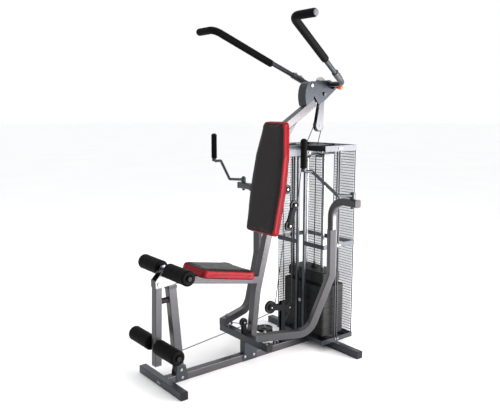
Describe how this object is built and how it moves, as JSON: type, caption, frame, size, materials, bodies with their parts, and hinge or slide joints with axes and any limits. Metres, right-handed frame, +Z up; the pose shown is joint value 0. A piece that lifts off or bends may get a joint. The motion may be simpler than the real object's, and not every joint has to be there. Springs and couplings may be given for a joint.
{
  "type": "multi station home gym",
  "caption": "Upright home gym with padded seat and backrest, leg developer, press arms, overhead lat arms and a guarded selectorised weight stack on cables and pulleys.",
  "frame": {"origin": "on the floor, middle plane, under the front face of the crossbar that carries the press arms", "axes": "+X to the right-hand side of the machine as the user sits, -Y the front that the user faces, +Z up"},
  "size_m": [1.084, 1.381, 2.008],
  "materials": {
    "frame_paint": "satin metallic powder coat",
    "screen_paint": "light grey coat",
    "black_paint": "satin black",
    "chrome": "polished",
    "zinc": "bright zinc",
    "vinyl_plate": "vinyl covered",
    "upholstery": "black vinyl with red side bands",
    "foam": "matt foam",
    "black_plastic": "satin",
    "pulley_plastic": "satin nylon",
    "rubber": "matt",
    "red_knob": "glossy orange red",
    "cable": "plastic coated steel rope"
  },
  "bodies": {
    "frame": {"front_foot": "frame_paint", "rear_foot": "frame_paint", "end_caps": "black_plastic", "front_rail": "frame_paint", "rear_rail": "frame_paint", "frame_brackets": "frame_paint", "crossbar": "frame_paint", "main_upright": "frame_paint", "boom": "frame_paint", "front_upright": "frame_paint", "seat_rail": "frame_paint", "seat_pad": "upholstery", "backrest_pad": "upholstery", "pad_brackets": "black_paint", "leg_bracket": "chrome", "rubber_stops": "rubber", "hub_saddle": "frame_paint", "top_beam": "frame_paint", "guard_frame": "frame_paint", "stack_tray": "frame_paint", "guard_screens": "screen_paint", "guide_rods": "chrome", "resting_plates": "vinyl_plate", "pulley_brackets": "frame_paint", "frame_bolts": "zinc", "fixed_cables": "cable", "stack_cable": "cable", "hanger_cable": "cable", "leg_cable": "cable"},
    "leg_lever": {"leg_lever": "frame_paint", "leg_lever_fittings": "zinc"},
    "upper_roller_left": {"upper_roller_left": "foam"},
    "upper_roller_right": {"upper_roller_right": "foam"},
    "lower_roller_left": {"lower_roller_left": "foam"},
    "lower_roller_right": {"lower_roller_right": "foam"},
    "press_arm_left": {"press_arm_left": "frame_paint"},
    "press_arm_right": {"press_arm_right": "frame_paint"},
    "handle_left": {"press_handle_left": "frame_paint", "press_grip_left": "foam"},
    "handle_right": {"press_handle_right": "frame_paint", "press_grip_right": "foam"},
    "lat_lever": {"lat_lever": "frame_paint"},
    "lat_bars": {"lat_bars": "frame_paint", "lat_grips": "foam", "lat_fittings": "chrome"},
    "pull_pin": {"pull_pin": "red_knob"},
    "pulley_hanger": {"hanger_straps": "chrome"},
    "stack": {"lifted_plates": "vinyl_plate", "stack_head": "vinyl_plate"},
    "selector_pin": {"selector_pin": "zinc"},
    "low_pulley": {"low_pulley": "pulley_plastic"},
    "base_front_pulley": {"base_front_pulley": "pulley_plastic"},
    "base_rear_pulley": {"base_rear_pulley": "pulley_plastic"},
    "float_lower_pulley": {"float_lower_pulley": "pulley_plastic"},
    "float_upper_pulley": {"float_upper_pulley": "pulley_plastic"},
    "upright_pulley": {"upright_pulley": "pulley_plastic"},
    "front_top_pulley": {"front_top_pulley": "pulley_plastic"},
    "rear_top_pulley": {"rear_top_pulley": "pulley_plastic"},
    "hanger_pulley": {"hanger_pulley": "pulley_plastic"},
    "press_pulley": {"press_pulley": "pulley_plastic"}
  },
  "joints": [
    {"name": "leg_lever_swing", "type": "hinge", "parent": "frame", "child": "leg_lever", "pos_m": [0, -0.573, 0.585], "axis": [-1, 0, 0], "range_deg": [0, 80], "deforming": ["leg_cable"]},
    {"name": "upper_roller_left_spin", "type": "hinge", "parent": "frame", "child": "upper_roller_left", "pos_m": [-0.137, -0.519, 0.654], "axis": [1, 0, 0], "continuous": true},
    {"name": "upper_roller_right_spin", "type": "hinge", "parent": "frame", "child": "upper_roller_right", "pos_m": [0.137, -0.519, 0.654], "axis": [1, 0, 0], "continuous": true},
    {"name": "lower_roller_left_spin", "type": "hinge", "parent": "leg_lever", "child": "lower_roller_left", "pos_m": [-0.137, -0.591, 0.244], "axis": [1, 0, 0], "continuous": true},
    {"name": "lower_roller_right_spin", "type": "hinge", "parent": "leg_lever", "child": "lower_roller_right", "pos_m": [0.137, -0.591, 0.244], "axis": [1, 0, 0], "continuous": true},
    {"name": "press_arm_right_swing", "type": "hinge", "parent": "frame", "child": "press_arm_right", "pos_m": [0.189, 0.0225, 0.202], "axis": [0, 0, -1], "range_deg": [0, 70]},
    {"name": "press_arm_left_swing", "type": "hinge", "parent": "frame", "child": "press_arm_left", "pos_m": [-0.189, 0.0225, 0.202], "axis": [0, 0, 1], "range_deg": [0, 70]},
    {"name": "handle_right_turn", "type": "hinge", "parent": "press_arm_right", "child": "handle_right", "pos_m": [0.5, 0.396, 1.028], "axis": [0, 0, 1], "range_deg": [-15, 15]},
    {"name": "handle_left_turn", "type": "hinge", "parent": "press_arm_left", "child": "handle_left", "pos_m": [-0.5, 0.396, 1.028], "axis": [0, 0, 1], "range_deg": [-15, 15]},
    {"name": "lat_lever_pull", "type": "hinge", "parent": "frame", "child": "lat_lever", "pos_m": [0, 0.518, 1.652], "axis": [1, 0, 0], "range_deg": [0, 49]},
    {"name": "lat_bars_tilt", "type": "hinge", "parent": "lat_lever", "child": "lat_bars", "pos_m": [0, 0.671, 1.661], "axis": [1, 0, 0], "range_deg": [-20, 0]},
    {"name": "pull_pin_slide", "type": "slide", "parent": "lat_lever", "child": "pull_pin", "axis": [-1, 0, 0], "range_m": [0, 0.0085]},
    {"name": "hanger_lift", "type": "slide", "parent": "frame", "child": "pulley_hanger", "axis": [0, 0, 1], "range_m": [0, 0.104], "deforming": ["hanger_cable"]},
    {"name": "stack_lift", "type": "slide", "parent": "frame", "child": "stack", "axis": [0, 0, 1], "range_m": [0, 0.208], "deforming": ["stack_cable"]},
    {"name": "selector_pin_slide", "type": "slide", "parent": "stack", "child": "selector_pin", "axis": [0, -1, 0], "range_m": [0, 0.055]},
    {"name": "low_pulley_spin", "type": "hinge", "parent": "frame", "child": "low_pulley", "pos_m": [0, 0.01, 0.24], "axis": [1, 0, 0], "continuous": true},
    {"name": "base_front_pulley_spin", "type": "hinge", "parent": "frame", "child": "base_front_pulley", "pos_m": [0, 0.222, 0.29], "axis": [1, 0, 0], "continuous": true},
    {"name": "base_rear_pulley_spin", "type": "hinge", "parent": "frame", "child": "base_rear_pulley", "pos_m": [0, 0.37, 0.262], "axis": [1, 0, 0], "continuous": true},
    {"name": "float_lower_pulley_spin", "type": "hinge", "parent": "frame", "child": "float_lower_pulley", "pos_m": [0, 0.369, 0.787], "axis": [1, 0, 0], "continuous": true},
    {"name": "float_upper_pulley_spin", "type": "hinge", "parent": "frame", "child": "float_upper_pulley", "pos_m": [0, 0.411, 0.915], "axis": [1, 0, 0], "continuous": true},
    {"name": "upright_pulley_spin", "type": "hinge", "parent": "frame", "child": "upright_pulley", "pos_m": [0, 0.345, 1.02], "axis": [1, 0, 0], "continuous": true},
    {"name": "front_top_pulley_spin", "type": "hinge", "parent": "frame", "child": "front_top_pulley", "pos_m": [0, 0.515, 1.24], "axis": [1, 0, 0], "continuous": true},
    {"name": "rear_top_pulley_spin", "type": "hinge", "parent": "frame", "child": "rear_top_pulley", "pos_m": [0, 0.626, 1.24], "axis": [1, 0, 0], "continuous": true},
    {"name": "hanger_pulley_spin", "type": "hinge", "parent": "pulley_hanger", "child": "hanger_pulley", "pos_m": [0, 0.608, 1.404], "axis": [1, 0, 0], "continuous": true},
    {"name": "press_pulley_spin", "type": "hinge", "parent": "frame", "child": "press_pulley", "pos_m": [0, 0.176, 0.162], "axis": [0, 0, 1], "continuous": true}
  ],
  "couplings": [
    {"joint": "hanger_lift", "follows": "lat_lever_pull", "m_per_rad": 0.1216},
    {"joint": "stack_lift", "follows": "lat_lever_pull", "m_per_rad": 0.2432},
    {"joint": "rear_top_pulley_spin", "follows": "lat_lever_pull", "ratio": -7.3697},
    {"joint": "hanger_pulley_spin", "follows": "lat_lever_pull", "ratio": -3.6848},
    {"joint": "low_pulley_spin", "follows": "leg_lever_swing", "ratio": -15.227},
    {"joint": "base_front_pulley_spin", "follows": "leg_lever_swing", "ratio": -9.3056}
  ]
}
